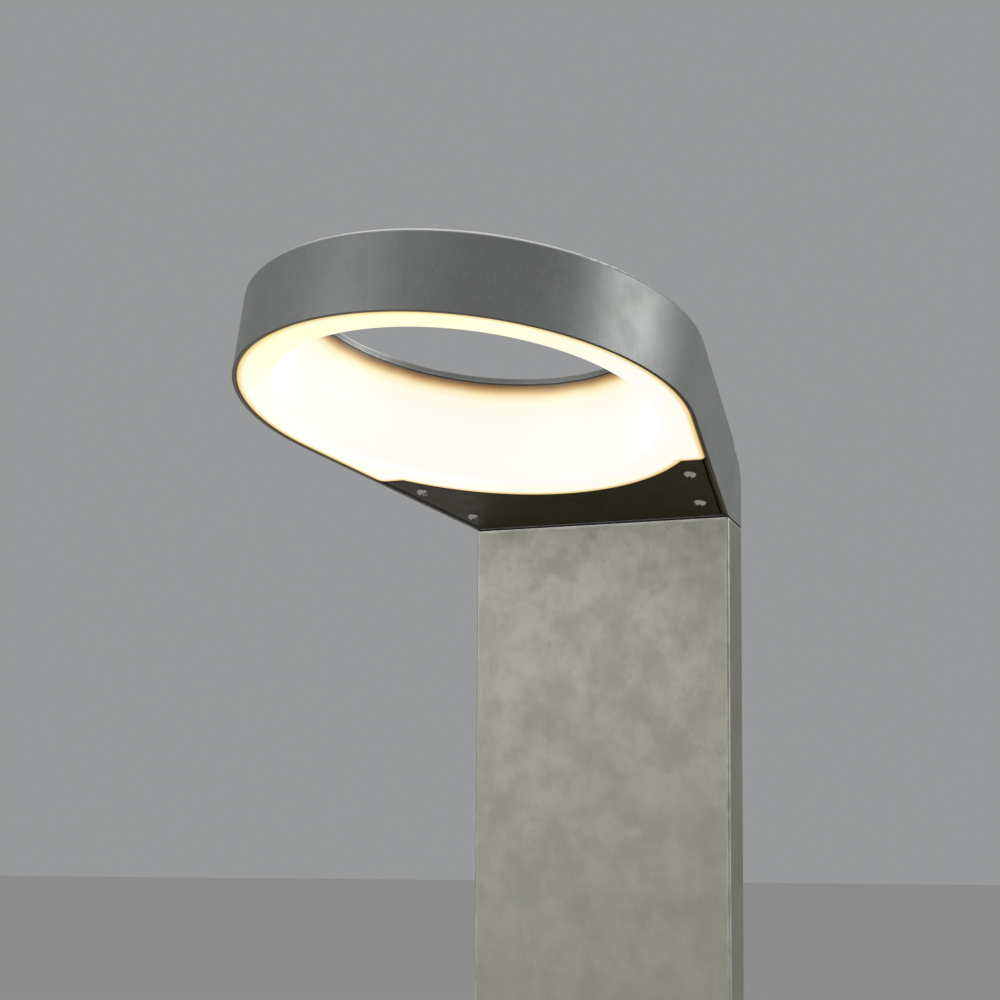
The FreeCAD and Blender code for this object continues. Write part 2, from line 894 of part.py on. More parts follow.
def make_gear():
    tray_low = ceiling - d.tray_thick
    screw_height = 8.0
    lead_height = 38.0

    left = -58.0
    near = 18.5
    right = left + d.driver_width
    fixings = [(left - 4.0, -near - 6.0), (right + 4.0, -near - 30.0)]
    holes = [(x, y, 1.5) for x, y in fixings]
    block("gear_tray", (-70.0, 84.0), (18.0, 56.0), (tray_low, ceiling), 3.0, holes)
    case_low = tray_low - d.driver_height
    block("driver_case", (left, right), (near, near + d.driver_depth), (case_low, tray_low), 2.5)
    clip = ring_body("clip", 1.5, 4.0, -1.2, 1.2)
    clips = group("driver_clips", clip, [(x, y, tray_low, 0) for x, y in fixings])
    screw = pan_screw("driver_screw", 2.6, 1.8, 1.5, 2.7)
    screws = group("driver_screws", screw, [(x, y, tray_low - 1.2, 0) for x, y in fixings])

    terminal_low = 31.0
    ways = [(x, -y, 1.0) for x in (54.0, 61.0, 68.0) for y in (29.0, 45.0)]
    block("terminal_block", (50.0, 72.0), (24.0, 50.0), (terminal_low, tray_low), 1.0, ways)
    clamp = pan_screw("terminal_screw", 1.6, 1.0, 1.0, screw_height)
    clamps = group("terminal_screws", clamp, [(x, y, terminal_low, 30) for x, y, _ in ways])
    for item in (clips, screws, clamps):
        place_on_head(item)
        keep(item, item.Name)

    for name, forward in (("live_lead", 30.0), ("neutral_lead", 37.0)):
        lead = new_body(name)
        sketch = new_sketch(lead, "YZ_Plane", lift=right)
        draw_circle(sketch, -forward, lead_height, d.lead_radius)
        pad(lead, sketch, 50.0 - right)
        place_on_head(lead)
        keep(lead, name)


def make_bent_lead(name, start, corner, end, lift, bend):
    """Insulated lead that runs across, turns once and runs along the head."""
    turn_x = 1 if corner[0] > start[0] else -1
    turn_y = 1 if end[1] > corner[1] else -1
    body = new_body(name)
    path = body.newObject("Sketcher::SketchObject", "path")
    plane = next(item for item in body.Origin.OriginFeatures if item.Role == "XY_Plane")
    path.AttachmentSupport = [(plane, "")]
    path.MapMode = "FlatFace"
    bind(path, "AttachmentOffset.Base.z", lift)
    first = FreeCAD.Vector(corner[0] - turn_x * bend, corner[1], 0)
    last = FreeCAD.Vector(corner[0], corner[1] + turn_y * bend, 0)
    middle = FreeCAD.Vector(corner[0] - turn_x * bend, corner[1] + turn_y * bend, 0)
    inward = FreeCAD.Vector(corner[0] - middle.x, corner[1] - middle.y, 0).normalize()
    path.addGeometry(Part.LineSegment(FreeCAD.Vector(*start, 0), first))
    path.addGeometry(Part.Arc(first, middle + inward * bend, last))
    path.addGeometry(Part.LineSegment(last, FreeCAD.Vector(*end, 0)))
    section = new_sketch(body, "YZ_Plane", lift=start[0])
    draw_circle(section, start[1], lift, d.lead_radius)
    pipe = body.newObject("PartDesign::AdditivePipe", "pipe")
    pipe.Profile = section
    pipe.Spine = path
    doc.recompute()
    place_on_head(body)
    keep(body, name)


def make_earth_point():
    x = 78.0
    y = -28.0
    tray_low = ceiling - d.tray_thick
    stud = plate_body("earth_stud", [], tray_low - 10, 10.0, [(x, y, 2.0)])
    washer = plate_body("earth_washer", [], tray_low - 0.8, 0.8, [(x, y, 2.1), (x, y, 4.5)])
    nut_low = tray_low - 4.0
    nut_outline = [(x + dx, y + dy) for dx, dy in hexagon(7.0)]
    nut = plate_body("earth_nut", [nut_outline], nut_low, 3.2, [(x, y, 2.0)])
    for body in (stud, washer, nut):
        place_on_head(body)
        keep(body, body.Name)
    make_bent_lead("earth_lead", (72.0, -40.0), (x, -40.0), (x, y - 4.0), float(nut_low) + 1.6, 3.0)


# ---------------------------------------------------------------- the whole light


def make_all():
    make_base_plate()
    make_post_tube()
    make_post_cap()
    foot_bush = make_bush("base_grommet", 0.5, d.foot_thick)
    place(foot_bush, y=post_mid_y)
    make_joint_gasket()
    make_head_shell()
    make_crown_ring()
    make_head_floor()
    make_head_fixings()
    head_bush = make_bush("head_grommet", 0.2, d.floor_thick)
    place_on_head(head_bush, forward=-floor_screw_y)
    make_diffuser()
    make_lens_seat()
    make_light_baffle()
    make_light_ring()
    make_service_plate()
    make_plate_rail("plate_rail_left", -1)
    make_plate_rail("plate_rail_right", 1)
    make_gear()
    make_earth_point()
    make_bent_lead("led_lead_plus", (-58.0, -32.0), (-66.0, -32.0), (-66.0, -84.5), 43.5, 5.0)
    make_bent_lead("led_lead_minus", (-58.0, -38.0), (-62.0, -38.0), (-62.0, -82.0), 43.5, 3.0)
    doc.recompute()


def check_document():
    for item in doc.Objects:
        if "Invalid" in item.State or "Error" in item.State:
            raise RuntimeError("%s is in state %s" % (item.Label, item.State))
    for item in nodes:
        if item.Shape.isNull() or not item.Shape.isValid() or not item.Shape.Solids:
            raise RuntimeError("%s has no valid shape" % item.Label)


def write_parts():
    os.makedirs("parts", exist_ok=True)
    for item in nodes:
        item.Shape.exportStep("parts/%s.step" % item.Label)
        print("%-18s %2d solids %10.0f mm3" % (item.Label, len(item.Shape.Solids), item.Shape.Volume))


make_all()
check_document()
write_parts()
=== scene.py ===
"""Looks for a garden path light: weathered galvanised post and ring head with a lit opal diffuser."""

import json
import math

import bmesh
import bpy
from mathutils import Matrix, Vector, noise


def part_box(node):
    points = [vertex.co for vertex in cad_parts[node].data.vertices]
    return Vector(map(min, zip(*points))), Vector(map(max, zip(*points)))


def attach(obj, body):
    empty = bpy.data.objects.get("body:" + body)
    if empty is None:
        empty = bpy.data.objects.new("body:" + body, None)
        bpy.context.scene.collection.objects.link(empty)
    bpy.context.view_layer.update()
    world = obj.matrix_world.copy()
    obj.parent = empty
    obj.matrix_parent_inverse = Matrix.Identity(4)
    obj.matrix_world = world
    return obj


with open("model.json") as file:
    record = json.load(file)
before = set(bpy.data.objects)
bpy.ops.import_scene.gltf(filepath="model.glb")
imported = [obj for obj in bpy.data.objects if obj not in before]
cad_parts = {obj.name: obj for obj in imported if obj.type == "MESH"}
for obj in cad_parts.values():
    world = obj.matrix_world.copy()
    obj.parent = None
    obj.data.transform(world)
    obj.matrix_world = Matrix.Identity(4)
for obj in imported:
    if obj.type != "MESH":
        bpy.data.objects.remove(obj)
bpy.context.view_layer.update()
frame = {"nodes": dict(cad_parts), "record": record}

NODES = frame["nodes"]

# ---------------------------------------------------------------- sizes, metres, in the row's frame

POST_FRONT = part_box("post_tube")[0][1]
POST_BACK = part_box("post_tube")[1][1]
POST_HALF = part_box("post_tube")[1][0]
POST_BACK_CORNER = 0.0035
POST_FRONT_CORNER = 0.0016
POST_MIDDLE = (POST_FRONT + POST_BACK) / 2
HEAD_PIVOT = Vector((0.0, POST_FRONT, 0.620))
HEAD_TIP = math.radians(14.0)
RING_REACH = 0.185
RING_RADIUS = 0.13403
HOLE_RADIUS = 0.112
COLLAR_TOP = 0.0595
WALL = 0.002
WALL_TOP = 0.0493
WALL_ROUND = 0.003
FLARE = math.radians(15.6)
SHOULDER = 0.0975
BULGE = 0.1354
LENS_CORNER = 0.006
LENS_GAP = 0.00035
BASE_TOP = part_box("base_plate")[1][2]

# Head frame: X across, Y back along the head, Z square out of its upper side.
# The ring's frame starts on its axis.
HEAD = Matrix.Translation(HEAD_PIVOT) @ Matrix.Rotation(-HEAD_TIP, 4, "X")
RING = HEAD @ Matrix.Translation((0.0, -RING_REACH, 0.0))


# ---------------------------------------------------------------- node helpers


class Nodes:
    """Short way to write a node tree."""

    def __init__(self, name):
        self.material = bpy.data.materials.new(name)
        self.material.use_nodes = True
        self.tree = self.material.node_tree
        self.tree.nodes.clear()
        self.output = self.tree.nodes.new("ShaderNodeOutputMaterial")
        self.shader = self.tree.nodes.new("ShaderNodeBsdfPrincipled")
        self.link(self.shader.outputs["BSDF"], self.output.inputs["Surface"])
        self.where = self.tree.nodes.new("ShaderNodeTexCoord").outputs["Object"]

    def link(self, source, target):
        self.tree.links.new(source, target)

    def set(self, socket, value):
        if isinstance(value, bpy.types.NodeSocket):
            self.link(value, socket)
        elif value is not None:
            socket.default_value = value

    def add(self, kind, inputs=(), **settings):
        node = self.tree.nodes.new(kind)
        for key, value in settings.items():
            setattr(node, key, value)
        for key, value in dict(inputs).items():
            self.set(node.inputs[key], value)
        return node

    def math(self, operation, first, second=None, clamp=False):
        node = self.add("ShaderNodeMath", operation=operation, use_clamp=clamp)
        self.set(node.inputs[0], first)
        if second is not None:
            self.set(node.inputs[1], second)
        return node.outputs[0]

    def stretch(self, scale):
        """Object position, scaled to stretch a pattern along an axis."""
        node = self.add("ShaderNodeMapping", vector_type="POINT")
        self.link(self.where, node.inputs["Vector"])
        node.inputs["Scale"].default_value = scale
        return node.outputs["Vector"]

    def noise(self, scale, detail=4.0, rough=0.55, source=None, distort=0.0):
        inputs = {"Scale": scale, "Detail": detail, "Roughness": rough, "Distortion": distort}
        node = self.add("ShaderNodeTexNoise", inputs)
        self.link(source or self.where, node.inputs["Vector"])
        return node.outputs["Fac"]

    def voronoi(self, scale):
        node = self.add("ShaderNodeTexVoronoi", {"Scale": scale}, feature="F1")
        self.link(self.where, node.inputs["Vector"])
        return node.outputs["Distance"]

    def ramp(self, source, stops):
        """Colour by value; stops are (value, colour) pairs."""
        node = self.add("ShaderNodeValToRGB")
        band = node.color_ramp
        band.interpolation = "LINEAR"
        while len(band.elements) < len(stops):
            band.elements.new(0.5)
        for element, (place, colour) in zip(band.elements, stops):
            element.position = place
            element.color = (*colour, 1.0)
        self.link(source, node.inputs["Fac"])
        return node.outputs["Color"]

    def range(self, source, low, high, to_low=0.0, to_high=1.0, smooth=True):
        """The source's low to high, mapped to to_low to to_high and held beyond them."""
        node = self.add("ShaderNodeMapRange", clamp=True)
        node.interpolation_type = "SMOOTHSTEP" if smooth else "LINEAR"
        self.link(source, node.inputs["Value"])
        for key, value in (("From Min", low), ("From Max", high), ("To Min", to_low), ("To Max", to_high)):
            node.inputs[key].default_value = value
        return node.outputs["Result"]

    def mix(self, factor, first, second):
        """Blend of two colours."""
        node = self.add("ShaderNodeMix", data_type="RGBA", blend_type="MIX")
        self.set(node.inputs["Factor"], factor)
        for index, value in ((6, first), (7, second)):
            if isinstance(value, tuple):
                value = (*value, 1.0)
            self.set(node.inputs[index], value)
        return node.outputs[2]

    def blend(self, factor, first, second):
        """Blend of two values."""
        node = self.add("ShaderNodeMix", data_type="FLOAT")
        self.set(node.inputs["Factor"], factor)
        self.set(node.inputs[2], first)
        self.set(node.inputs[3], second)
        return node.outputs[0]

    def bump(self, height, strength, distance, under=None):
        inputs = {"Height": height, "Strength": strength, "Distance": distance}
        node = self.add("ShaderNodeBump", inputs)
        if under is not None:
            self.link(under, node.inputs["Normal"])
        return node.outputs["Normal"]

    def part(self, axis, source=None):
        """One coordinate of a position."""
        node = self.add("ShaderNodeSeparateXYZ")
        self.link(source or self.where, node.inputs["Vector"])
        return node.outputs[axis]

    def done(self, colour, rough, metal=0.0, normal=None, **rest):
        """Set the shader's sockets and return the material."""
        sockets = self.shader.inputs
        if isinstance(colour, tuple):
            colour = (*colour, 1.0)
        self.set(sockets["Base Color"], colour)
        self.set(sockets["Roughness"], rough)
        self.set(sockets["Metallic"], metal)
        if normal is not None:
            self.link(normal, sockets["Normal"])
        for key, value in rest.items():
            self.set(sockets[key.replace("_", " ")], value)
        return self.material


def to_ring(n):
    """Position in the ring's frame: Z is the height above the ring's underside."""
    inverse = RING.inverted()
    node = n.add("ShaderNodeMapping", vector_type="POINT")
    n.link(n.where, node.inputs["Vector"])
    node.inputs["Location"].default_value = inverse.to_translation()
    node.inputs["Rotation"].default_value = inverse.to_euler()
    return node.outputs["Vector"]


def edge_mask(n, radius, low, high):
    """1 on sharp edges, 0 on open faces, from how far a rounded normal leaves the true one."""
    rounded = n.add("ShaderNodeBevel", {"Radius": radius}, samples=4)
    true = n.add("ShaderNodeNewGeometry").outputs["Normal"]
    dot = n.add("ShaderNodeVectorMath", operation="DOT_PRODUCT")
    n.link(rounded.outputs["Normal"], dot.inputs[0])
    n.link(true, dot.inputs[1])
    return n.range(dot.outputs["Value"], low, high, 1.0, 0.0)


# ---------------------------------------------------------------- finishes

ZINC = (0.176, 0.185, 0.180)
WARM_ZINC = (0.183, 0.180, 0.152)
WORN_ZINC = (0.58, 0.58, 0.56)
# Painted highlight on rounded edges.
EDGE_HIGHLIGHT_ZINC = (0.46, 0.47, 0.46)
# Painted shade on the head's lower rim, which faces down.
RIM_SHADE = (0.035, 0.024, 0.010)
BLACK_COAT = (0.0135, 0.0100, 0.0022)
DUSTY_COAT = (0.0230, 0.0175, 0.0050)
COAT_SPECK = (0.040, 0.036, 0.026)
WORN_COAT = (0.11, 0.10, 0.085)
# Painted shade in sheltered corners and recesses.
RECESS_SHADE = (0.020, 0.016, 0.010)

# The diffuser's face, from its front to its back, in patches, round the hole, at its rim and on its outline.
LIT_FRONT = (1.00, 0.955, 0.62)
LIT_BACK = (1.00, 0.985, 0.88)
LIT_PATCH = (1.00, 0.990, 0.82)
LIT_MIDDLE = (1.00, 0.990, 0.97)
LIT_RIM = (1.00, 0.72, 0.22)
LIT_OUTLINE = (0.22, 0.08, 0.01)
OPAL = (0.06, 0.058, 0.050)
GLOW = 0.93
RIM_GLOW = 0.80
TOP_GLOW = 0.30

# The wall of the hole, from its foot to its top.
LIT_WALL = [
    (0.00, (1.00, 0.985, 0.93)),
    (0.50, (1.00, 0.985, 0.94)),
    (0.80, (1.00, 0.965, 0.78)),
    (0.89, (1.00, 0.820, 0.46)),
    (0.95, (0.95, 0.520, 0.17)),
    (1.00, (0.42, 0.165, 0.04)),
]


def shade(tint, factor):
    return tuple(v * factor for v in tint)


def head_edge_highlight(n):
    """The rounded upper edge of the head's wall, where a highlight is painted."""
    height = n.part("Z", to_ring(n))
    start = WALL_TOP - WALL_ROUND
    low = n.range(height, start - 0.0001, start + 0.0013)
    high = n.range(height, WALL_TOP + 0.0009, WALL_TOP + 0.0001)
    return n.math("MULTIPLY", low, high)


def post_edge_highlight(n):
    """The post's front corners and mitred top, where a highlight is painted."""
    side = n.range(n.math("ABSOLUTE", n.part("X")), POST_HALF - 0.0022, POST_HALF - 0.0010)
    front = n.range(n.part("Y"), POST_FRONT + 0.0022, POST_FRONT + 0.0010)
    top = n.range(n.part("Z", to_ring(n)), -0.0030, -0.0018)
    edge = n.math("MAXIMUM", n.math("MULTIPLY", side, front), n.math("MULTIPLY", top, 0.5))
    return n.math("MULTIPLY", edge, n.range(n.noise(55.0), 0.35, 0.62, 0.35, 1.0))


def galvanised(name, tint, edge_highlight=None, shaded_rim=False):
    """Weathered zinc: weak clouds, fine grain with short upright flecks, a few smudges and lighter worn
    edges; optionally a painted highlight on rounded edges and painted shade on the lower rim.
    """
    n = Nodes(name)
    clouds = n.noise(22.0, 6.0, 0.68)
    patches = n.noise(48.0, 5.0, 0.65)
    grain = n.noise(900.0, 3.0, 0.6)
    flecks = n.noise(1.0, 2.0, 0.55, n.stretch((520.0, 520.0, 190.0)), 1.6)
    runs = n.noise(1.0, 3.0, 0.6, n.stretch((85.0, 85.0, 9.0)))
    smudges = n.noise(36.0, 4.0, 0.6)
    olive = (tint[0] * 0.965, tint[1] * 0.955, tint[2] * 0.90)
    cool = (tint[0] * 0.94, tint[1] * 0.98, tint[2] * 1.05)
    dark = shade(tint, 0.82)
    colour = n.mix(n.range(clouds, 0.34, 0.66), olive, shade(tint, 1.04))
    colour = n.mix(n.range(patches, 0.46, 0.70, 0.0, 0.35), colour, cool)
    colour = n.mix(n.range(runs, 0.54, 0.76, 0.0, 0.34), colour, dark)
    colour = n.mix(n.range(smudges, 0.60, 0.78, 0.0, 0.30), colour, dark)
    colour = n.mix(n.range(flecks, 0.50, 0.72, 0.0, 0.50), colour, shade(tint, 1.22))
    colour = n.mix(n.range(grain, 0.52, 0.72, 0.0, 0.45), colour, dark)
    worn = edge_mask(n, 0.0010, 0.80, 0.985)
    worn = n.math("MULTIPLY", worn, n.range(patches, 0.30, 0.62, 0.25, 0.85))
    colour = n.mix(worn, colour, WORN_ZINC)
    gloss = n.range(patches, 0.34, 0.68, 0.40, 0.48)
    gloss = n.math("ADD", gloss, n.range(flecks, 0.5, 0.75, 0.0, 0.06), True)
    skin = n.math("ADD", n.math("MULTIPLY", grain, 0.7), n.math("MULTIPLY", flecks, 0.7))
    wave = n.bump(n.noise(9.0, 2.0, 0.5), 0.06, 0.0010)
    normal = n.bump(skin, 0.30, 0.00016, wave)
    metallic = 0.55
    # Painted highlight: lighter zinc along the chosen edges.
    if edge_highlight:
        colour = n.mix(n.math("MULTIPLY", edge_highlight(n), 0.6), colour, EDGE_HIGHLIGHT_ZINC)
    # Painted shade: the lower rim is dark and not metallic.
    if shaded_rim:
        above_rim_shade = n.range(n.part("Z", to_ring(n)), 0.0001, 0.0005)
        colour = n.mix(above_rim_shade, RIM_SHADE, colour)
        metallic = n.math("MULTIPLY", above_rim_shade, metallic)
    return n.done(colour, gloss, metallic, normal)


def dark_paint(name):
    """Near-black powder coat: fine orange peel, patches of dust, pale specks and worn edges."""
    n = Nodes(name)
    dust = n.noise(60.0, 5.0, 0.62)
    specks = n.noise(900.0, 2.0, 0.6)
    colour = n.mix(n.range(dust, 0.35, 0.70), BLACK_COAT, DUSTY_COAT)
    colour = n.mix(n.range(specks, 0.66, 0.80, 0.0, 0.5), colour, COAT_SPECK)
    worn = edge_mask(n, 0.0006, 0.82, 0.985)
    colour = n.mix(n.math("MULTIPLY", worn, 0.35), colour, WORN_COAT)
    peel = n.noise(1300.0, 2.0, 0.5)
    normal = n.bump(peel, 0.25, 0.00008)
    gloss = n.range(dust, 0.3, 0.7, 0.46, 0.60)
    return n.done(colour, gloss, 0.0, normal, IOR=1.33, Specular_IOR_Level=0.3)


def lens_edge(n, flat, across, back, radius):
    """Distance in from the diffuser's outline, which has a round front, two rounded shoulders and a bulge."""
    inset = WALL + LENS_GAP
    to_round = n.math("SUBTRACT", RING_RADIUS - inset, radius)
    half = n.math("MULTIPLY_ADD", back, -math.tan(FLARE))
    half.node.inputs[2].default_value = POST_HALF + RING_REACH * math.tan(FLARE)
    to_wall = n.math("MULTIPLY_ADD", n.math("SUBTRACT", half, across), math.cos(FLARE))
    to_wall.node.inputs[2].default_value = -inset
    to_shoulder = n.math("SUBTRACT", SHOULDER - LENS_GAP, back)
    to_rear = n.math("MAXIMUM", n.math("SUBTRACT", BULGE - LENS_GAP, radius), to_shoulder)
    corner_y = SHOULDER - LENS_GAP - LENS_CORNER
    corner_half = POST_HALF + (RING_REACH - corner_y) * math.tan(FLARE)
    corner_x = corner_half - (inset + LENS_CORNER) / math.cos(FLARE)
    to_corner = n.add("ShaderNodeVectorMath", {0: flat}, operation="DISTANCE")
    to_corner.inputs[1].default_value = (corner_x, corner_y, 0.0)
    rounding = n.math("SUBTRACT", LENS_CORNER, to_corner.outputs["Value"])
    in_corner = n.math("LESS_THAN", n.math("MAXIMUM", to_wall, to_shoulder), LENS_CORNER)
    square = n.math("MINIMUM", to_wall, to_rear)
    behind = n.math("GREATER_THAN", back, RING_RADIUS * math.sin(FLARE))
    return n.blend(behind, to_round, n.blend(in_corner, square, rounding))


def opal(name):
    """Lit opal acrylic: white at its middle, yellow at its edges, fading to brown up the inner wall."""
    n = Nodes(name)
    ring = to_ring(n)
    height = n.part("Z", ring)
    across = n.math("ABSOLUTE", n.part("X", ring))
    back = n.part("Y", ring)
    flat = n.add("ShaderNodeCombineXYZ", {"X": across, "Y": back}).outputs["Vector"]
    radius = n.add("ShaderNodeVectorMath", {0: flat}, operation="LENGTH").outputs["Value"]
    to_edge = lens_edge(n, flat, across, back, radius)
    ripple = n.noise(42.0, 3.0, 0.55)
    climb = n.math("ADD", height, n.range(ripple, 0.3, 0.7, -0.0003, 0.0003))
    wall = n.ramp(n.range(climb, 0.004, COLLAR_TOP, smooth=False), LIT_WALL)
    wall_power = n.range(climb, COLLAR_TOP - 0.008, COLLAR_TOP, GLOW, TOP_GLOW)
    face = n.mix(n.range(back, -0.118, -0.030), LIT_FRONT, LIT_BACK)
    face = n.mix(n.range(ripple, 0.35, 0.70, 0.0, 0.5), face, LIT_PATCH)
    round_hole = n.range(radius, HOLE_RADIUS + 0.016, HOLE_RADIUS)
    face = n.mix(n.math("MULTIPLY", round_hole, n.range(back, -0.06, 0.0)), face, LIT_MIDDLE)
    outer = n.range(to_edge, 0.0048, 0.0004)
    inner = n.range(radius, HOLE_RADIUS + 0.0022, HOLE_RADIUS, 0.0, 0.05)
    rim = n.math("MAXIMUM", outer, inner)
    face = n.mix(rim, face, LIT_RIM)
    face = n.mix(n.range(to_edge, 0.0009, 0.0003), face, LIT_OUTLINE)
    on_wall = n.range(height, 0.0040, 0.0090)
    scratch = n.noise(1.0, 3.0, 0.6, n.stretch((260.0, 260.0, 260.0)))
    return n.done(
        OPAL,
        n.range(scratch, 0.3, 0.7, 0.26, 0.38),
        0.0,
        n.bump(scratch, 0.12, 0.00010),
        Emission_Color=n.mix(on_wall, face, wall),
        Emission_Strength=n.blend(on_wall, n.range(rim, 0.0, 1.0, GLOW, RIM_GLOW), wall_power),
        IOR=1.49,
        Specular_IOR_Level=0.25,
    )


def metal(name, tint, rough, brushed=(900.0, 900.0, 60.0), metallic=0.95, dull=0.35):
    """Plated steel and bare aluminium: fine brush lines, dull spots and painted shade in sheltered corners.
    """
    n = Nodes(name)
    lines = n.noise(1.0, 3.0, 0.6, n.stretch(brushed))
    spots = n.noise(120.0, 4.0, 0.6)
    colour = n.mix(n.range(spots, 0.5, 0.75, 0.0, dull), tint, shade(tint, 0.66))
    brush = n.range(lines, 0.3, 0.7, rough - 0.07, rough + 0.08)
    gloss = n.math("ADD", brush, n.range(spots, 0.5, 0.8, 0.0, 0.12))
    # Painted shade: darker, rougher colour where ambient occlusion finds corners and recesses.
    sheltered = n.add("ShaderNodeAmbientOcclusion", {"Distance": 0.0035}, samples=4).outputs["AO"]
    recess_shade = n.range(sheltered, 0.42, 0.86, 0.95, 0.0)
    colour = n.mix(recess_shade, colour, RECESS_SHADE)
    gloss = n.math("ADD", gloss, n.math("MULTIPLY", recess_shade, 0.4))
    return n.done(colour, gloss, metallic, n.bump(lines, 0.22, 0.00006))


def rubber(name, tint, rough):
    """Rubber, sealant and wire insulation: fine grain and lighter handling marks."""
    n = Nodes(name)
    marks = n.noise(90.0, 4.0, 0.6)
    fine = n.noise(700.0, 3.0, 0.6)
    lighter = tuple(min(1.0, v * 1.5 + 0.012) for v in tint)
    colour = n.mix(n.range(marks, 0.40, 0.72, 0.0, 0.8), tint, lighter)
    gloss = n.range(fine, 0.3, 0.7, rough - 0.08, rough + 0.10)
    return n.done(colour, gloss, 0.0, n.bump(fine, 0.30, 0.00010))


def moulded(name, tint, rough=0.42, grain=1500.0):
    """Moulded plastic and board lacquer: spark-eroded texture with slight yellowing."""
    n = Nodes(name)
    age = n.noise(45.0, 4.0, 0.6)
    fine = n.voronoi(grain)
    aged = (tint[0] * 0.95, tint[1] * 0.91, tint[2] * 0.80)
    colour = n.mix(n.range(age, 0.42, 0.75, 0.0, 0.7), tint, aged)
    gloss = n.range(age, 0.3, 0.7, rough - 0.05, rough + 0.07)
    return n.done(colour, gloss, 0.0, n.bump(fine, 0.20, 0.00008))


def striped_wire(name):
    """Green insulation with a yellow stripe wound round it."""
    n = Nodes(name)
    inputs = {"Vector": n.where, "Scale": 90.0, "Distortion": 0.6}
    turn = n.add("ShaderNodeTexWave", inputs, wave_type="BANDS", bands_direction="DIAGONAL")
    colour = n.mix(n.range(turn.outputs["Fac"], 0.62, 0.68), (0.05, 0.26, 0.04), (0.78, 0.66, 0.05))
    fine = n.noise(800.0, 2.0, 0.6)
    return n.done(colour, n.range(fine, 0.3, 0.7, 0.42, 0.55), 0.0, n.bump(fine, 0.2, 0.00006))


FINISH = {
    "galvanised": galvanised("galvanised", ZINC),
    "dark_plate": dark_paint("dark_plate"),
    "opal": opal("opal"),
    "sealant": rubber("sealant", (0.045, 0.044, 0.042), 0.45),
    "gasket": rubber("gasket", (0.022, 0.022, 0.022), 0.74),
    "screw_steel": metal("screw_steel", (0.27, 0.262, 0.240), 0.13),
    "zinc_steel": metal("zinc_steel", (0.50, 0.51, 0.52), 0.36, (240.0, 240.0, 240.0), 0.9, 0.6),
    "carrier_aluminium": metal("carrier_aluminium", (0.74, 0.74, 0.75), 0.34, (60.0, 900.0, 900.0)),
    "board_white": moulded("board_white", (0.82, 0.83, 0.81), 0.30, 2400.0),
    "led_yellow": moulded("led_yellow", (0.86, 0.62, 0.14), 0.25, 3000.0),
    "gear_case": moulded("gear_case", (0.76, 0.76, 0.73)),
    "terminal_grey": moulded("terminal_grey", (0.40, 0.41, 0.42), 0.38),
    "wire_brown": rubber("wire_brown", (0.16, 0.06, 0.025), 0.48),
    "wire_blue": rubber("wire_blue", (0.03, 0.10, 0.40), 0.48),
    "wire_green": striped_wire("wire_green"),
    "wire_red": rubber("wire_red", (0.46, 0.03, 0.03), 0.48),
    "wire_black": rubber("wire_black", (0.018, 0.018, 0.018), 0.48),
}

# The same zinc with a painted highlight on its edges, warmer on the post, and on the head with painted shade
# along its lower rim.
VARIANT = {
    "post_tube": galvanised("galvanised_post", WARM_ZINC, edge_highlight=post_edge_highlight),
    "head_shell": galvanised("galvanised_head", ZINC, edge_highlight=head_edge_highlight, shaded_rim=True),
}

for subpart in frame["record"]["subparts"]:
    mesh = NODES[subpart["node"]].data
    mesh.materials.clear()
    mesh.materials.append(VARIANT.get(subpart["node"]) or FINISH[subpart["material_slot"]])

# ---------------------------------------------------------------- welds


def piece(name, bm, slot):
    """A new object from the mesh, fixed to the part's one body."""
    bmesh.ops.recalc_face_normals(bm, faces=bm.faces)
    mesh = bpy.data.meshes.new(name)
    bm.to_mesh(mesh)
    bm.free()
    for polygon in mesh.polygons:
        polygon.use_smooth = True
    made = bpy.data.objects.new(name, mesh)
    bpy.context.scene.collection.objects.link(made)
    mesh.materials.append(FINISH[slot])
    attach(made, "root")


def walk(corners, step):
    """Evenly spaced points along the straight runs of a closed outline."""
    points = []
    for start, end in zip(corners, corners[1:] + corners[:1]):
        parts = max(1, round((end - start).length / step))
        for part in range(parts):
            points.append(start.lerp(end, part / parts))
    return points


def weld_bead(name, corners, out, size, pitch):
    """Rippled bead laid round a closed outline, between an upright face and the plate it stands on."""
    bm = bmesh.new()
    sides = 7
    root = 0.0004
    rise = Vector((0.0, 0.0, 1.0))
    step = pitch / 5
    rings = []
    for index, point in enumerate(walk(corners, step)):
        beat = abs(math.sin(math.pi * index * step / pitch))
        drift = noise.noise(point * 90.0)
        swell = size * (0.80 + 0.14 * beat + 0.10 * drift)
        side = out(point)
        ring = []
        for turn in range(sides):
            angle = math.pi / 2 * turn / (sides - 1)
            ring.append(bm.verts.new(point + swell * (math.cos(angle) * side + math.sin(angle) * rise)))
        ring.append(bm.verts.new(point - root * (side + rise)))
        rings.append(ring)
    for here, following in zip(rings, rings[1:] + rings[:1]):
        for turn in range(len(here)):
            after = (turn + 1) % len(here)
            bm.faces.new((here[turn], following[turn], following[after], here[after]))
    piece(name, bm, "galvanised")


def foot_corner(y):
    """Radius of the post's corners on that side."""
    return POST_FRONT_CORNER if y < POST_MIDDLE else POST_BACK_CORNER


def foot_out(point):
    """Away from the post's sides, turned smoothly round its corners."""
    corner = foot_corner(point.y)
    past_end = max(0.0, abs(point.x) - (POST_HALF - corner))
    past_face = max(0.0, abs(point.y - POST_MIDDLE) - (POST_BACK - POST_MIDDLE - corner))
    x = math.copysign(past_end, point.x)
    y = math.copysign(past_face, point.y - POST_MIDDLE)
    return Vector((x, y, 0.0)).normalized()


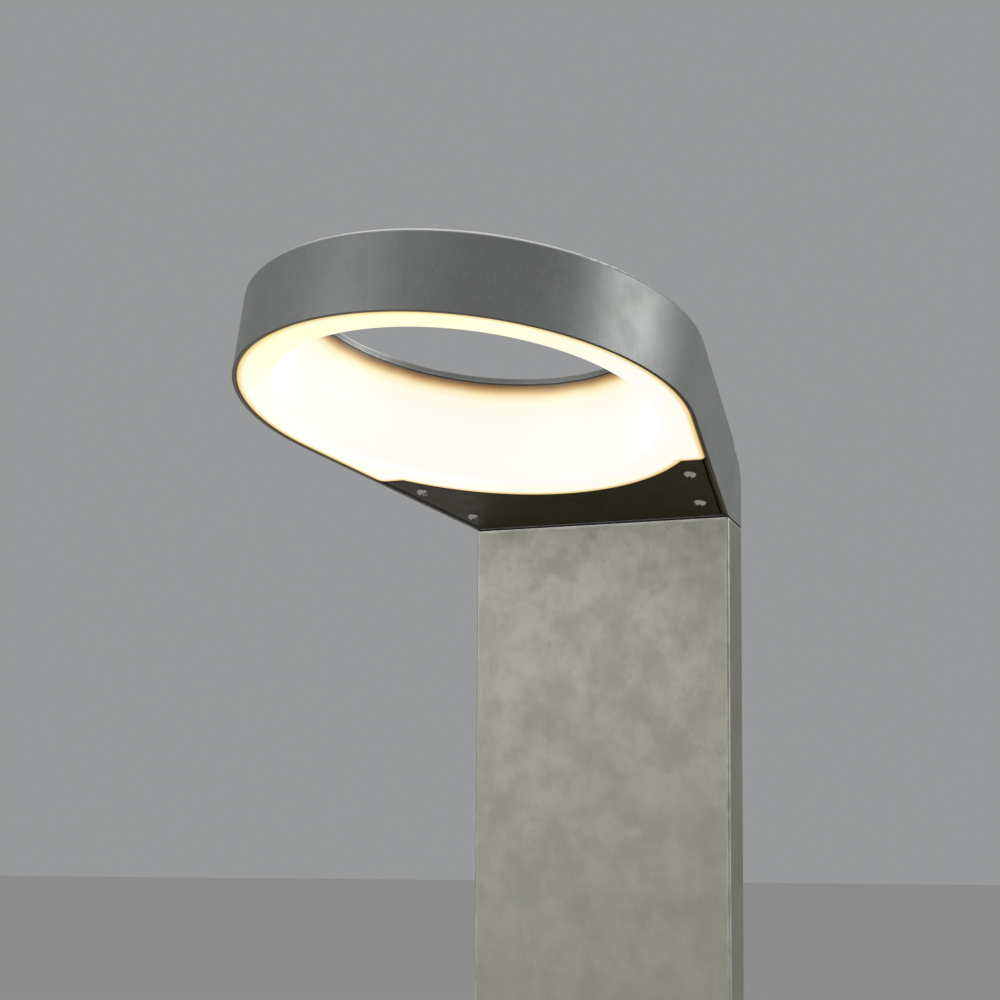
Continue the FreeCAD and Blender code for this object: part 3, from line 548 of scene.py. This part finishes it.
def foot_outline():
    """The post's outline on the base plate, with its rounded corners."""
    points = []
    steps = 4
    corners = ((1, POST_BACK), (-1, POST_BACK), (-1, POST_FRONT), (1, POST_FRONT))
    for quarter, (end, face) in enumerate(corners):
        corner = foot_corner(face)
        inward = math.copysign(corner, POST_MIDDLE - face)
        centre = Vector((end * (POST_HALF - corner), face + inward, BASE_TOP))
        for part in range(steps + 1):
            angle = math.pi / 2 * (quarter + part / steps)
            points.append(centre + corner * Vector((math.cos(angle), math.sin(angle), 0.0)))
    return points


weld_bead("foot_weld", foot_outline(), foot_out, size=0.0042, pitch=0.0026)

# ---------------------------------------------------------------- floor, world, lights, camera

REACH = 60.0
FLOOR_CORNERS = [(x, y, 0.0) for x, y in ((-REACH, -REACH), (REACH, -REACH), (REACH, REACH), (-REACH, REACH))]
floor_mesh = bpy.data.meshes.new("floor")
floor_mesh.from_pydata(FLOOR_CORNERS, [], [(0, 1, 2, 3)])
floor_mesh.materials.append(Nodes("floor").done((0.80, 0.795, 0.78), 0.85))
floor = bpy.data.objects.new("floor", floor_mesh)
bpy.context.scene.collection.objects.link(floor)

world = bpy.data.worlds.new("studio")
world.use_nodes = True
sky = world.node_tree.nodes["Background"].inputs
sky["Color"].default_value = (0.56, 0.57, 0.58, 1.0)
sky["Strength"].default_value = 0.56
bpy.context.scene.world = world


def softbox(name, place, target, size, watts):
    """White rectangular light, turned to its target."""
    data = bpy.data.lights.new(name, "AREA")
    data.shape = "RECTANGLE"
    data.size, data.size_y = size
    data.energy = watts
    lamp = bpy.data.objects.new(name, data)
    lamp.location = place
    lamp.rotation_euler = (Vector(target) - Vector(place)).to_track_quat("-Z", "Y").to_euler()
    bpy.context.scene.collection.objects.link(lamp)


softbox("key", place=(-1.35, -2.30, 1.10), target=(0.0, 0.0, 0.50), size=(1.5, 1.5), watts=36.0)
softbox("rim", place=(2.15, 0.85, 1.45), target=(0.0, -0.05, 0.62), size=(1.30, 1.5), watts=34.0)
softbox("top", place=(-0.2, 0.3, 2.6), target=(0.0, 0.0, 0.6), size=(2.6, 2.6), watts=42.0)

# The camera stands in front, to the right and below the head, and looks up at it.
PITCH, YAW, ROLL = 0.1350787, 0.4842040, 0.0062839
STAND = HEAD_PIVOT + Vector((0.7234, -1.5102, -0.2132))
camera_data = bpy.data.cameras.new("camera")
camera_data.sensor_width = 36.0
camera_data.lens = 96.526
camera = bpy.data.objects.new("camera", camera_data)
ahead = Vector((-math.sin(YAW) * math.cos(PITCH), math.cos(YAW) * math.cos(PITCH), math.sin(PITCH)))
level = Vector((math.cos(YAW), math.sin(YAW), 0.0))
above = level.cross(ahead)
across = level * math.cos(ROLL) + above * math.sin(ROLL)
upwards = above * math.cos(ROLL) - level * math.sin(ROLL)
facing = Matrix((across, upwards, -ahead)).transposed().to_4x4()
camera.matrix_world = Matrix.Translation(STAND) @ facing
bpy.context.scene.collection.objects.link(camera)
bpy.context.scene.camera = camera
bpy.context.scene.view_settings.view_transform = "Standard"
